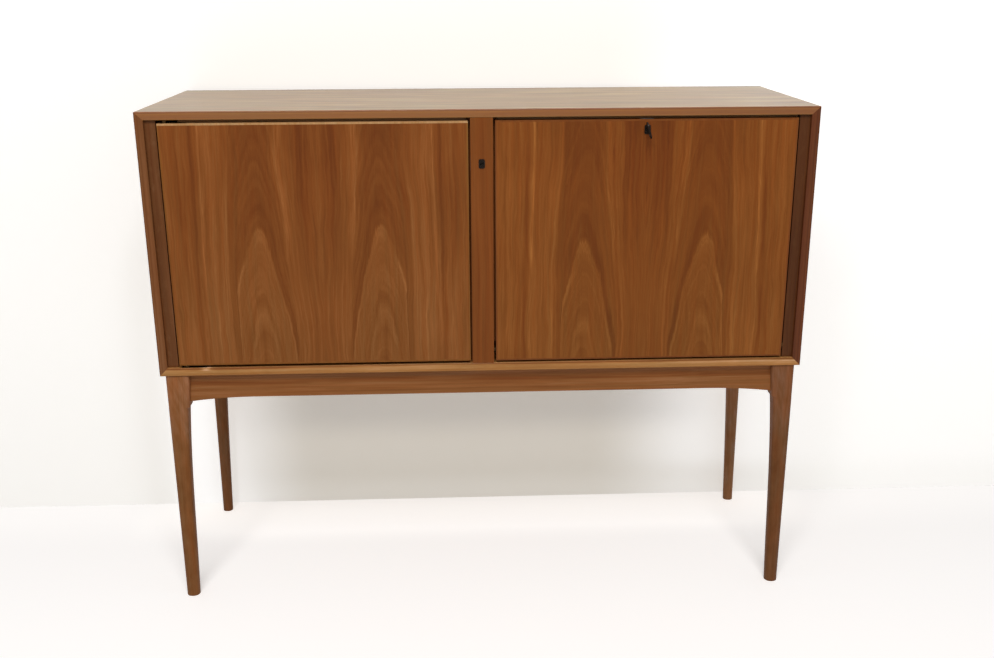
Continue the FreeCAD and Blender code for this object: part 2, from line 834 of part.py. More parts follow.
def stay_bracket(x, inward):
    # Base plate on the flap, an ear beside the rod's eye and the pin it
    # turns on. The ear is on the side towards the middle of the flap.
    near = x + inward * (half_eye + loose_clearance)
    far = near + inward * stay_ear_thickness
    head_near = x - inward * (half_eye + loose_clearance)
    head_far = head_near - inward * stay_pin_head_thickness
    half_height = stay_bracket_height / 2
    base_end = near + inward * stay_bracket_width
    base = box(
        min(near, base_end), max(near, base_end), flap_back_y, flap_back_y + stay_bracket_base,
        stay_pin_z - half_height, stay_pin_z + half_height
    )
    ear_points = [
        point(near, flap_back_y, stay_pin_z - half_height),
        point(near, flap_back_y, stay_pin_z + half_height),
        point(near, stay_pin_y + stay_eye_radius, stay_pin_z + stay_eye_radius),
        point(near, stay_pin_y + stay_eye_radius, stay_pin_z - stay_eye_radius),
    ]
    ear = prism(ear_points, point(far - near, 0, 0))
    pin = cylinder(
        stay_pin_radius, point(far, stay_pin_y, stay_pin_z), point(head_far, stay_pin_y, stay_pin_z)
    )
    head = cylinder(
        stay_pin_head_radius,
        point(head_near, stay_pin_y, stay_pin_z), point(head_far, stay_pin_y, stay_pin_z)
    )
    return base.fuse([ear, pin, head]).removeSplitter()


def stay_guide(x, inward):
    centre = point(x, guide_y, guide_z)
    half = guide_block_size / 2
    half_width_x = guide_block_width / 2
    block = box(
        x - half_width_x, x + half_width_x,
        guide_y - half, guide_y + half, guide_z - half, guide_z + half
    )
    block = turned(block, centre, ALONG_X, rod_tilt)
    spigot = cylinder(
        guide_spigot_radius, centre,
        centre - ALONG_X * inward * (half_width_x + guide_spigot_length)
    )
    passage = cylinder(
        stay_rod_radius + loose_clearance,
        centre - rod_direction * guide_block_size, centre + rod_direction * guide_block_size
    )
    return block.fuse(spigot).cut(passage)


def guide_mount(x, wall_x, inward):
    boss_end = x - inward * (guide_block_width / 2 + loose_clearance)
    wall = point(wall_x, guide_y, guide_z)
    end = point(boss_end, guide_y, guide_z)
    boss = cylinder(guide_boss_radius, wall, end)
    flange = cylinder(guide_flange_radius, wall, wall + ALONG_X * inward * guide_flange_thickness)
    bore = cylinder(
        guide_spigot_radius + running_clearance,
        end - ALONG_X * inward * guide_spigot_length, end + ALONG_X * inward
    )
    return boss.fuse(flange).cut(bore).removeSplitter()


left_stay_x = flap_left_x + stay_edge_distance
right_stay_x = flap_right_x - stay_edge_distance
stay_brackets = [stay_bracket(left_stay_x, 1), stay_bracket(right_stay_x, -1)]
guide_mounts = [
    guide_mount(left_stay_x, half_partition, 1),
    guide_mount(right_stay_x, inner_half_width, -1),
]


# ---- shelves and stops ----
def shelf_with_pins(left_x, right_x, front_y, low_z):
    shelf = box(
        left_x + shelf_end_play, right_x - shelf_end_play,
        front_y, back_inner_y - shelf_end_play, low_z, low_z + shelf_thickness
    )
    pins = []
    rest_z = low_z - shelf_pin_radius
    for wall_x, inward in ((left_x, 1), (right_x, -1)):
        for pin_y in (front_y + shelf_pin_end_distance, back_inner_y - shelf_pin_end_distance):
            root = point(wall_x - inward * (shelf_pin_length - shelf_pin_stand_out), pin_y, rest_z)
            end = point(wall_x + inward * shelf_pin_stand_out, pin_y, rest_z)
            pins.append(cylinder(shelf_pin_radius, root, end))
    return shelf, pins


cupboard_shelf, cupboard_pins = shelf_with_pins(
    -inner_half_width, -half_partition,
    cupboard_shelf_setback, case_bottom_z + cupboard_shelf_rise
)
bar_shelf, bar_pins = shelf_with_pins(
    half_partition, inner_half_width,
    back_inner_y - bar_shelf_depth, case_bottom_z + bar_shelf_rise + panel_thickness
)
for pin in cupboard_pins + bar_pins:
    left_panel = left_panel.cut(pin)
    right_panel = right_panel.cut(pin)
    partition = partition.cut(pin)


def stop_batten(left_x, right_x, behind_y):
    return box(
        left_x, right_x,
        behind_y + slide_clearance, behind_y + slide_clearance + stop_depth,
        inner_top_z - stop_height, inner_top_z
    )


# The door closes against one batten under the case top, the flap against two
# that meet at its middle.
door_stop = stop_batten(door_left_x + stop_hinge_room, -lip_outer_x - stop_end_play, door_back_y)
flap_stop_end = inner_half_width - strip_width - stop_end_play
flap_stops = [
    stop_batten(lip_outer_x + stop_end_play, flap_centre_x - stop_end_play / 2, flap_back_y),
    stop_batten(flap_centre_x + stop_end_play / 2, flap_stop_end, flap_back_y),
]


# ---- leg frame ----
def make_leg(top_width, widths, splay, side, back):
    # side is -1 left or 1 right, back is -1 at the front or 1 at the back.
    # The outer side leans in by the splay towards the top.
    if back > 0:
        outer_y = leg_back_y
    else:
        outer_y = leg_inset_front

    def section(width, height):
        share = height / floor_to_case
        depth = width * leg_depth_ratio
        set_in = leg_foot_set_in * (1 - share)
        corner_share = leg_corner_share_foot
        corner_share += (leg_corner_share_top - leg_corner_share_foot) * share
        middle_x = side * (leg_outer_x - splay * share - width / 2)
        middle_y = outer_y - back * (depth / 2 + set_in)
        return rounded_rectangle(width, depth, width * corner_share, point(middle_x, middle_y, height))

    stem_sections = []
    for width, height in zip(widths, leg_section_heights):
        stem_sections.append(section(width, height))
    stem = Part.makeLoft(stem_sections, True, False)
    # Above the stem a small cove widens the leg to meet the rails.
    head_sections = []
    for turn in leg_cove_turns:
        angle = math.radians(turn)
        width = widths[0] + leg_cove_width * (1 - math.cos(angle))
        height = leg_section_heights[0] + leg_cove_height * math.sin(angle)
        head_sections.append(section(width, height))
    head_sections.append(section(top_width, floor_to_case))
    head = Part.makeLoft(head_sections, True, True)
    return stem.fuse(head)


leg_outer_x = half_width - leg_inset_side
leg_back_y = case_depth - leg_inset_front
legs = {
    "front_left": make_leg(front_leg_top, front_leg_widths, front_leg_splay, -1, -1),
    "front_right": make_leg(front_leg_top, front_leg_widths, front_leg_splay, 1, -1),
    "back_left": make_leg(back_leg_top, back_leg_widths, back_leg_splay, -1, 1),
    "back_right": make_leg(back_leg_top, back_leg_widths, back_leg_splay, 1, 1),
}
rail_low_z = floor_to_case - rail_height


def rail_half_outline(near, far):
    # One half of a rail, from its middle to its end at the leg. The lower
    # edge is straight, then drops slowly.
    start = far - rail_curve_length
    curve_radius = (rail_curve_length ** 2 + rail_curve_drop ** 2) / (2 * rail_curve_drop)
    bend = rail_curve_length / 2
    bend_drop = curve_radius - math.sqrt(curve_radius ** 2 - bend ** 2)
    end_z = rail_low_z - rail_curve_drop
    long_arc = Part.Arc(
        point(start, 0, rail_low_z),
        point(start + bend, 0, rail_low_z - bend_drop),
        point(far, 0, end_z)
    ).toShape()
    edges = [
        Part.makeLine(point(near, 0, floor_to_case), point(near, 0, rail_low_z)),
        Part.makeLine(point(near, 0, rail_low_z), point(start, 0, rail_low_z)),
        long_arc,
        Part.makeLine(point(far, 0, end_z), point(far, 0, floor_to_case)),
        Part.makeLine(point(far, 0, floor_to_case), point(near, 0, floor_to_case)),
    ]
    return Part.Face(Part.Wire(edges)).extrude(point(0, rail_thickness, 0))


def make_rail(left_length, right_length):
    # A rail along X with its front face at depth 0, measured from its middle
    # to the leg's inner face at each end. It runs a little way into the legs,
    # so that it meets them all the way down, and the tenons reach further.
    right_half = rail_half_outline(0, right_length + rail_scribe)
    left_half = mirrored_x(rail_half_outline(0, left_length + rail_scribe))
    reach = box(
        -left_length - rail_tenon_length, right_length + rail_tenon_length,
        (rail_thickness - rail_tenon_thickness) / 2, (rail_thickness + rail_tenon_thickness) / 2,
        rail_low_z + rail_tenon_shoulder, floor_to_case - rail_tenon_shoulder
    )
    stubs = [
        box(right_length - 1, right_length + rail_tenon_shoulder,
            0, rail_thickness, rail_low_z, floor_to_case),
        box(-left_length - rail_tenon_shoulder, -left_length + 1,
            0, rail_thickness, rail_low_z, floor_to_case),
    ]
    return right_half.fuse([left_half] + stubs).removeSplitter(), reach


def fit_rail(body, tenon, first_leg, second_leg):
    # The rail's ends are scribed to the legs, and the tenon is let into
    # mortises cut in them.
    body = body.cut(legs[first_leg]).cut(legs[second_leg])
    body = sorted(body.Solids, key=lambda solid: solid.Volume)[-1]
    whole = body.fuse(tenon).removeSplitter()
    legs[first_leg] = legs[first_leg].cut(tenon)
    legs[second_leg] = legs[second_leg].cut(tenon)
    return whole


rail_front_y = leg_inset_front + rail_set_back
rail_back_y = case_depth - rail_front_y
rail_outer_x = leg_outer_x - rail_set_back
front_half_span = leg_outer_x - front_leg_splay - front_leg_top
back_half_span = leg_outer_x - back_leg_splay - back_leg_top
front_depth = leg_inset_front + front_leg_top * leg_depth_ratio
back_depth = leg_back_y - back_leg_top * leg_depth_ratio
middle_y = (front_depth + back_depth) / 2
side_half_span = (back_depth - front_depth) / 2

front_body, front_tenon = make_rail(front_half_span, front_half_span)
front_rail = fit_rail(
    moved(front_body, 0, rail_front_y, 0), moved(front_tenon, 0, rail_front_y, 0),
    "front_left", "front_right"
)
back_body, back_tenon = make_rail(back_half_span, back_half_span)
back_rail_y = rail_back_y - rail_thickness
back_rail = fit_rail(
    moved(back_body, 0, back_rail_y, 0), moved(back_tenon, 0, back_rail_y, 0),
    "back_left", "back_right"
)


def side_rail(side, front_leg, back_leg):
    body, tenon = make_rail(side_half_span, side_half_span)
    placed = []
    for shape in (body, tenon):
        shape = turned(shape, ORIGIN, UP, 90)
        if side < 0:
            shape = moved(shape, -rail_outer_x + rail_thickness, middle_y, 0)
        else:
            shape = moved(shape, rail_outer_x, middle_y, 0)
        placed.append(shape)
    # The side tenons are kept short of the front and back tenons.
    keep = box(
        -half_width, half_width,
        rail_front_y + rail_thickness, rail_back_y - rail_thickness, 0, floor_to_case
    )
    # Its ends stop against the front and back rails where a leg's rounded
    # inner corner leaves room for both.
    body = placed[0].cut(front_rail).cut(back_rail)
    return fit_rail(body, placed[1].common(keep), front_leg, back_leg)


left_rail = side_rail(-1, "front_left", "back_left")
right_rail = side_rail(1, "front_right", "back_right")

# Triangular blocks brace the corners. One screw in each and a row along the
# front and back rails hold the frame to the case.
corner_blocks = []
frame_screws = []
block_low_z = floor_to_case - corner_block_height
block_x = rail_outer_x - rail_thickness
block_front_y = rail_front_y + rail_thickness
for side in (-1, 1):
    for back in (-1, 1):
        if back < 0:
            corner_y = block_front_y
        else:
            corner_y = case_depth - block_front_y
        corner = [
            point(side * block_x, corner_y, block_low_z),
            point(side * (block_x - corner_block_leg), corner_y, block_low_z),
            point(side * block_x, corner_y - back * corner_block_leg, block_low_z),
        ]
        block = prism(corner, point(0, 0, corner_block_height))
        for leg in legs.values():
            block = block.cut(leg)
        for rail in (front_rail, back_rail, left_rail, right_rail):
            block = block.cut(rail)
        seat = point(
            side * (block_x - corner_block_leg / 3), corner_y - back * corner_block_leg / 3,
            block_low_z
        )
        frame_screws.append(screw(seat, UP, frame_screw_length, frame_screw_radius))
        hole = screw(seat, UP, frame_screw_length, frame_screw_radius, fit_gap)
        corner_blocks.append(block.cut(hole))
        bottom_panel = bottom_panel.cut(hole)

for seat_x in (-frame_screw_pitch, 0, frame_screw_pitch):
    for seat_y in (rail_front_y + rail_thickness / 2, rail_back_y - rail_thickness / 2):
        seat = point(seat_x, seat_y, rail_low_z + rail_height / 4)
        frame_screws.append(screw(seat, UP, frame_screw_length, frame_screw_radius))
        hole = screw(seat, UP, frame_screw_length, frame_screw_radius, fit_gap)
        counterbore = cylinder(
            screw_head_radius + loose_clearance, point(seat_x, seat_y, rail_low_z - 1), seat
        )
        front_rail = front_rail.cut(hole.fuse(counterbore))
        back_rail = back_rail.cut(hole.fuse(counterbore))
        bottom_panel = bottom_panel.cut(hole)

# ---- files ----
save("case_top_panel", top_panel)
save("case_bottom_panel", bottom_panel)
save("case_left_panel", left_panel)
save("case_right_panel", right_panel)
save("back_panel", back_panel)
save("back_panel_screws", back_screws)
save("centre_partition", partition)
save("centre_stile", stile)
save("left_front_strip", left_strip)
save("right_front_strip", right_strip)
save("cupboard_shelf", cupboard_shelf)
save("cupboard_shelf_pins", cupboard_pins)
save("bar_shelf", bar_shelf)
save("bar_shelf_pins", bar_pins)
save("door_stop", door_stop)
save("flap_stops", flap_stops)
save("door_panel", door_panel)
save("door_lippings", door_lippings)
save("door_hinge_case_plates", case_plates)
save("door_hinge_door_plates", door_plates)
save("case_hinge_screws", case_hinge_screws)
save("door_hinge_screws", door_hinge_screws)
save("door_strike_plate", door_strike)
save("flap_panel", flap_panel)
save("flap_laminate", flap_laminate)
save("flap_lippings", flap_lippings)
save("flap_pivot_pins", flap_pins)
save("flap_pivot_bushes", flap_bushes)
save("flap_strike_plate", flap_strike)
save("door_lock_case", door_lock_case)
save("door_lock_plug", door_lock_plug)
save("door_lock_bolt", door_lock_bolt)
save("door_escutcheon", door_escutcheon)
save("flap_lock_case", flap_lock_case)
save("flap_lock_plug", flap_lock_plug)
save("flap_lock_bolt", flap_lock_bolt)
save("flap_escutcheon", flap_escutcheon)
save("flap_key", flap_key)
save("stay_brackets", stay_brackets)
save("stay_rod_left", stay_rod(left_stay_x))
save("stay_rod_right", stay_rod(right_stay_x))
save("stay_guide_left", stay_guide(left_stay_x, 1))
save("stay_guide_right", stay_guide(right_stay_x, -1))
save("stay_guide_mounts", guide_mounts)
save("front_left_leg", legs["front_left"])
save("front_right_leg", legs["front_right"])
save("back_left_leg", legs["back_left"])
save("back_right_leg", legs["back_right"])
save("front_rail", front_rail)
save("back_rail", back_rail)
save("left_rail", left_rail)
save("right_rail", right_rail)
save("corner_blocks", corner_blocks)
save("frame_screws", frame_screws)
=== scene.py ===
import math

import bpy
from mathutils import Matrix, Vector


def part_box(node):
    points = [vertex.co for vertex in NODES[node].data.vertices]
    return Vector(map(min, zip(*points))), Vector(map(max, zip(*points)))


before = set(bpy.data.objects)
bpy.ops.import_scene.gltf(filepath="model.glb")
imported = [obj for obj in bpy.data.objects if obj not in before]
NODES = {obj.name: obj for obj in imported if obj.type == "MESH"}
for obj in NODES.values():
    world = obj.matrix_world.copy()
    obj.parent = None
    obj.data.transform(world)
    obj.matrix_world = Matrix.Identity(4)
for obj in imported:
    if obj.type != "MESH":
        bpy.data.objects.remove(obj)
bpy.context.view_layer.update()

scene = bpy.context.scene


# ---------------------------------------------------------------- sizes, mm
def mm_box(node):
    """A node's lowest and highest corners."""
    low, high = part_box(node)
    return [value * 1000 for value in low], [value * 1000 for value in high]


DOOR_LOW, DOOR_HIGH = mm_box("door_lippings")
FLAP_LOW, FLAP_HIGH = mm_box("flap_lippings")
TOP_HIGH = mm_box("case_top_panel")[1]
BOTTOM_LOW = mm_box("case_bottom_panel")[0]
LEFT_LOW = mm_box("case_left_panel")[0]
RIGHT_HIGH = mm_box("case_right_panel")[1]
LEFT_STRIP_LOW, LEFT_STRIP_HIGH = mm_box("left_front_strip")
RIGHT_STRIP_LOW = mm_box("right_front_strip")[0]
DOOR_RECESS = 1.0
CASE_FRONT = DOOR_LOW[1] - DOOR_RECESS


# ------------------------------------------------------------ shader helper
def linear(red, green, blue):
    """A colour of 0 to 255 as the renderer takes it."""
    out = []
    for value in (red, green, blue):
        value = value / 255
        out.append(value / 12.92 if value <= 0.04045 else ((value + 0.055) / 1.055) ** 2.4)
    return (*out, 1.0)


class Value:
    """A socket that can be written in sums."""

    def __init__(self, shader, socket):
        self.shader = shader
        self.socket = socket

    def _do(self, kind, other, swap=False):
        first, second = (other, self) if swap else (self, other)
        return self.shader.math(kind, first, second)

    def __add__(self, other):
        return self._do("ADD", other)

    def __radd__(self, other):
        return self._do("ADD", other, True)

    def __sub__(self, other):
        return self._do("SUBTRACT", other)

    def __rsub__(self, other):
        return self._do("SUBTRACT", other, True)

    def __mul__(self, other):
        return self._do("MULTIPLY", other)

    def __rmul__(self, other):
        return self._do("MULTIPLY", other, True)

    def __truediv__(self, other):
        return self._do("DIVIDE", other)


class Shader:
    """One material with a Principled shader, built up with short calls."""

    def __init__(self, name):
        self.material = bpy.data.materials.new(name)
        self.material.use_nodes = True
        self.tree = self.material.node_tree
        self.tree.nodes.clear()
        self.output = self.tree.nodes.new("ShaderNodeOutputMaterial")
        self.bsdf = self.tree.nodes.new("ShaderNodeBsdfPrincipled")
        self.tree.links.new(self.bsdf.outputs[0], self.output.inputs[0])
        self._place = None

    def put(self, socket, value):
        if isinstance(value, Value):
            self.tree.links.new(value.socket, socket)
        else:
            socket.default_value = value

    def set(self, name, value):
        self.put(self.bsdf.inputs[name], value)

    def math(self, kind, *values, clamp=False):
        node = self.tree.nodes.new("ShaderNodeMath")
        node.operation = kind
        node.use_clamp = clamp
        for index, value in enumerate(values):
            self.put(node.inputs[index], value)
        return Value(self, node.outputs[0])

    def place(self):
        """Position on the object at rest, in millimetres: x, y from the case front, z."""
        if self._place is None:
            coordinates = self.tree.nodes.new("ShaderNodeTexCoord")
            split = self.tree.nodes.new("ShaderNodeSeparateXYZ")
            self.tree.links.new(coordinates.outputs["Object"], split.inputs[0])
            x, y, z = (Value(self, socket) * 1000.0 for socket in split.outputs)
            self._place = (x, y - CASE_FRONT, z)
        return self._place

    def vector(self, x, y, z):
        node = self.tree.nodes.new("ShaderNodeCombineXYZ")
        for index, value in enumerate((x, y, z)):
            self.put(node.inputs[index], value)
        return Value(self, node.outputs[0])

    def noise(self, x, y, z, detail=2.0, roughness=0.5):
        """Noise about 0, mostly within -1 and 1."""
        node = self.tree.nodes.new("ShaderNodeTexNoise")
        self.put(node.inputs["Vector"], self.vector(x, y, z))
        node.inputs["Scale"].default_value = 1.0
        node.inputs["Detail"].default_value = detail
        node.inputs["Roughness"].default_value = roughness
        return (Value(self, node.outputs[0]) - 0.5) * 4.0

    def step(self, value, start, end, low=0.0, high=1.0):
        """A smooth change from low at start to high at end."""
        node = self.tree.nodes.new("ShaderNodeMapRange")
        node.interpolation_type = "SMOOTHSTEP"
        if start > end:
            start, end, low, high = end, start, high, low
        for index, entry in enumerate((value, start, end, low, high)):
            self.put(node.inputs[index], entry)
        return Value(self, node.outputs[0])

    def peak(self, value, width):
        """1 where value is 0, falling off on both sides."""
        scaled = value / width
        return self.math("EXPONENT", scaled * scaled * -1.0)

    def absolute(self, value):
        return self.math("ABSOLUTE", value)

    def ramp(self, value, stops):
        node = self.tree.nodes.new("ShaderNodeValToRGB")
        elements = node.color_ramp.elements
        while len(elements) < len(stops):
            elements.new(0.5)
        for element, (position, colour) in zip(elements, stops):
            element.position = position
            element.color = linear(*colour)
        self.put(node.inputs[0], value)
        return Value(self, node.outputs[0])

    def mix(self, share, first, second, blend="MIX"):
        node = self.tree.nodes.new("ShaderNodeMix")
        node.data_type = "RGBA"
        node.blend_type = blend
        self.put(node.inputs[0], share)
        self.put(node.inputs[6], first)
        self.put(node.inputs[7], second)
        return Value(self, node.outputs[2])

    def bump(self, height, distance, strength):
        node = self.tree.nodes.new("ShaderNodeBump")
        node.inputs["Strength"].default_value = strength
        node.inputs["Distance"].default_value = distance
        self.put(node.inputs["Height"], height)
        self.put(self.bsdf.inputs["Normal"], Value(self, node.outputs[0]))


# ------------------------------------------------------------------- walnut
# Tone from dark to pale, with what it does to red, green and blue.
TONES = ((0.0, (0.72, 0.58, 0.34)), (0.3, (0.865, 0.79, 0.60)), (0.55, (1.0, 1.0, 1.0)),
         (0.78, (1.12, 1.20, 1.50)), (1.0, (1.28, 1.46, 2.05)))


def walnut(red, green, blue):
    """Colours from dark to pale round one middle colour."""
    return tuple((tone, (red * r, green * g, blue * b)) for tone, (r, g, b) in TONES)


def fibres(shader, across, other, along, seed):
    """Fine figure of walnut: fibre streaks and open pores as short dark dashes."""
    fine = shader.noise(across / 1.5, other / 1.5, along / 55.0 + seed, 3.0, 0.62)
    thread = shader.noise(across / 0.45, other / 0.45, along / 22.0 + seed, 1.0)
    pore = shader.noise(across / 0.6 + seed, other / 0.6, along / 6.5, 1.0)
    pore = shader.step(pore, 0.65, 1.3)
    return fine * 0.65 + thread * 0.35, pore


OLIVE = (0.805, 1.085, 1.37, 1.0)
ORANGE = (1.185, 0.905, 0.61, 1.0)
BARE_WOOD = (196, 150, 104)


def finish_wood(shader, tone, hue, fine, pore, colours, gloss, level, wear=None):
    """Tone sets dark to pale; hue turns olive below 0 and orange above 0.

    Gloss is the mean roughness and level the strength of the reflection.
    """
    tone = tone + fine * 0.065 - pore * 0.14
    colour = shader.ramp(shader.math("ADD", tone, 0.0, clamp=True), colours)
    share = shader.math("ADD", hue * 0.15, 0.5, clamp=True)
    tinge = shader.mix(share, OLIVE, ORANGE)
    colour = shader.mix(1.0, colour, tinge, "MULTIPLY")
    if wear is not None:
        colour = shader.mix(wear, colour, linear(*BARE_WOOD))
    shader.set("Base Color", colour)
    shader.set("Roughness", gloss + fine * 0.03 + pore * 0.12)
    shader.set("Specular IOR Level", level)
    shader.bump(fine * 0.25 - pore, 0.00006, 0.6)


def straight_wood(name, along_axis, seed, colours, gloss=0.44, level=0.2, stripe=22.0,
                  contrast=1.0, shade=None, patch=0.0):
    """Straight-grained walnut, the grain along the axis 0, 1 or 2.

    Stripe is the width of its broad stripes and contrast their strength. Shade gives
    more tone and hue by place, and patch the strength of short patches.
    """
    shader = Shader(name)
    places = shader.place()
    along = places[along_axis]
    across, other = [places[axis] for axis in (0, 1, 2) if axis != along_axis]
    drift = shader.noise(along / 420.0 + seed, across / 260.0, other / 260.0, 1.0)
    waver = shader.noise(along / 70.0 + seed, across / 30.0, other / 30.0, 1.0)
    across = across + drift * 5.0 + waver * 0.8
    broad = shader.noise(across / stripe, other / stripe, along / (stripe * 24) + seed, 2.0)
    middle = shader.noise(across / (stripe / 4), other / (stripe / 4), along / 420.0 + seed, 2.0)
    narrow = shader.noise(across / 2.6, other / 2.6, along / 150.0 + seed, 2.0)
    hue = shader.noise(across / (stripe / 2), other / (stripe / 2), along / 260.0 + seed + 5.0, 2.0)
    fine, pore = fibres(shader, across, other, along, seed)
    tone = 0.5 + (broad * 0.13 + middle * 0.10 + narrow * 0.06) * contrast
    if patch:
        tone = tone + shader.noise(along / 55.0 + seed, across / 16.0, other / 16.0, 2.0) * patch
    if shade is not None:
        more_tone, more_hue = shade(shader, places)
        tone = tone + more_tone
        hue = hue + more_hue
    finish_wood(shader, tone, hue, fine, pore, colours, gloss, level)
    return shader.material


# The figure in a pair of leaves, in mm: heights are counted down from the veneer's top,
# and the places of the lines outwards from the seam.
VENEER_TOP = 931.0
VENEER_HEIGHT = 440.0
ARCH_FROM_SEAM = 110.0
ARCH_HALF_WIDTH = 40.5
CORE_TIP_DOWN = 187.0
SECOND_ARCH_DOWN = 332.0
PALE_BAND_OUT = 178.0
BRIGHT_LINE_OUT = 203.0
DARK_LINE_OUT = 216.0


def front_veneer(name, low, high, seam_x, arch_drop, skew, bend, seed, colours):
    """Book-matched walnut: two mirrored leaves, each with an arched figure.

    Arch_drop lowers both arches and skew lowers the left one against the right one. Bend
    is how far down the grain beside the seam starts to turn outwards.
    """
    shader = Shader(name)
    noise, step, peak = shader.noise, shader.step, shader.peak
    x, _, z = shader.place()
    beside = x - seam_x
    out = shader.absolute(beside)
    lean = noise(beside / 90.0, z / 170.0, seed, 1.0)
    sway = noise(out / 42.0, z / 150.0, seed + 3.0, 1.0)
    rough = noise(out / 8.0, z / 40.0, seed + 5.0, 2.0)
    # u counts from the middle of the arch, positive towards the seam.
    u = ARCH_FROM_SEAM - out + lean * 3.0 + sway * 3.0 + rough * 1.2
    wide = shader.math("SQRT", u * u + 6.0)
    spike = noise(beside / 2.4, z / 46.0, seed + 7.0, 2.0)
    right_leaf = step(beside, -0.5, 0.5)
    down = (VENEER_TOP - arch_drop - skew) - z + right_leaf * (2 * skew)
    down = down + noise(out / 45.0, z / 80.0, seed + 9.0, 2.0) * 5.0 + spike * 6.0
    seam_side = step(u, -6.0, 6.0)
    edge_side = 1.0 - seam_side
    depth = step(down, 0.0, VENEER_HEIGHT)

    # The arched zone, and the pale core in it with a blunt, ragged tip.
    spread = edge_side * step(down, 40.0, 240.0) * 13.0
    spread = spread + seam_side * step(down, bend, bend + 310.0) * 19.0
    past = wide - spread - ARCH_HALF_WIDTH + spike * 0.8
    inside = step(past, 4.5, -4.5)
    blunt = shader.math("MAXIMUM", wide - 5.0, 0.0)
    rise = blunt * (1.9 - seam_side * 0.2) + blunt * blunt * (0.036 + seam_side * 0.024)
    over = shader.math("MAXIMUM", wide - 40.0, 0.0) * edge_side
    arch = rise + over * 30.0 - (down - CORE_TIP_DOWN)
    core = step(arch, 7.0, -7.0)

    # Straight grain outside the arches, bending round them.
    settle = shader.math("EXPONENT", shader.math("MAXIMUM", past, 0.0) / -55.0)
    line = wide - spread * settle + seam_side * 300.0
    waver = noise(beside / 14.0, z / 34.0, seed + 15.0, 2.0)
    line = line + waver * 0.8
    own = line + right_leaf * 40.0
    band = noise(line / 14.0, z / 600.0, seed + 11.0, 1.0)
    reed = noise(line / 5.0, z / 210.0, seed + 13.0, 2.0)
    thin = noise(own / 2.6, z / 75.0, seed + 17.0, 2.0, 0.6)
    crack = step(noise(line / 2.8, z / 75.0, seed + 47.0, 1.0), 0.55, 1.25)
    fleck = step(noise(own / 2.0, z / 15.0, seed + 53.0, 1.0), 1.0, 1.5)
    frayed = 0.65 + thin * 0.5
    straight = 0.54 + band * 0.14 + reed * 0.14 + thin * 0.08 - crack * 0.14
    straight = straight + peak(out - PALE_BAND_OUT, 24.0) * 0.07
    straight = straight - seam_side * (0.16 - depth * 0.13)
    bright = out - BRIGHT_LINE_OUT - depth * 9.0 + sway * 1.5 + spike * 0.4
    bright = peak(bright, 2.4) * frayed
    straight = straight + bright * (0.34 - depth * 0.22)
    dark = out - DARK_LINE_OUT - depth * 6.0 + sway * 1.5 + spike * 0.6
    straight = straight - peak(dark, 4.5) * 0.15

    # Above the core: dusky, with faint arches, darkest beside the core towards the seam.
    ring = noise(arch / 26.0, out / 140.0, seed + 19.0, 2.0)
    ringlet = noise(arch / 8.0, out / 50.0, seed + 23.0, 2.0)
    dusk = 0.38 + ring * 0.09 + ringlet * 0.05 + reed * 0.07 + thin * 0.07 + depth * 0.05
    dusk = dusk - step(arch, 80.0, 12.0) * (0.05 + seam_side * 0.10)
    dusk = dusk - peak(arch - 44.0, 10.0) * 0.06
    # The core: pale at its tip and down its sides, with a second arch low down.
    heart = 0.51 + ring * 0.07 + ringlet * 0.07 + thin * 0.08 + reed * 0.04
    rim = peak(arch + 13.0, 12.0) * (0.75 + ringlet * 0.25)
    sides = edge_side * step(down, 225.0, 275.0) * 1.1
    sides = sides + seam_side * step(down, 310.0, 370.0) * 0.8
    heart = heart + rim * shader.math("MAXIMUM", peak(wide, 13.0), sides) * 0.26
    upright = peak(wide - 40.0, 2.0) * edge_side * step(down, 290.0, 330.0)
    heart = heart + upright * (0.16 * frayed)
    second = shader.math("MAXIMUM", wide - 10.0, 0.0) * 6.0 - (down - SECOND_ARCH_DOWN)
    heart = heart - peak(second - 14.0, 12.0) * 0.09 + peak(second + 16.0, 14.0) * 0.10
    heart = heart - peak(u + 2.0, 4.0) * step(down, 345.0, 385.0) * 0.13
    inner = dusk + core * (heart - dusk)
    tone = straight + inside * (inner - straight)
    # A pale streak runs down between the arched zone and the seam.
    streak_width = 11.0 - step(down, 60.0, 260.0) * 8.0
    streak = peak(past - 1.5, streak_width) * seam_side * step(down, 300.0, 180.0)
    tone = tone + streak * (0.31 * (0.8 + thin * 0.4))
    cloud = noise(x / 110.0, z / 140.0, seed + 29.0, 2.0)
    # With depth the leaves grow paler towards the bottom: painted light of the floor's bounce.
    tone = tone + cloud * 0.05 + depth * 0.10 - fleck * 0.13

    blaze = noise(line / 6.5, z / 220.0, seed + 41.0, 2.0)
    hue = blaze * 0.9 + cloud * 0.3 + streak * 0.25 + bright * 0.2 + 0.35
    hue = hue - inside * 0.35 - depth * 0.75
    fine, pore = fibres(shader, x + sway * 2.0, 0.0, z, seed)
    side = shader.math(
        "MINIMUM",
        shader.math("MINIMUM", x - low[0], high[0] - x),
        shader.math("MINIMUM", z - low[2], high[2] - z),
    )
    wear = step(side, 1.8, 0.3) * step(cloud, -0.6, 0.9) * 0.35
    finish_wood(shader, tone, hue, fine, pore, colours, 0.46, 0.13, wear)
    return shader.material


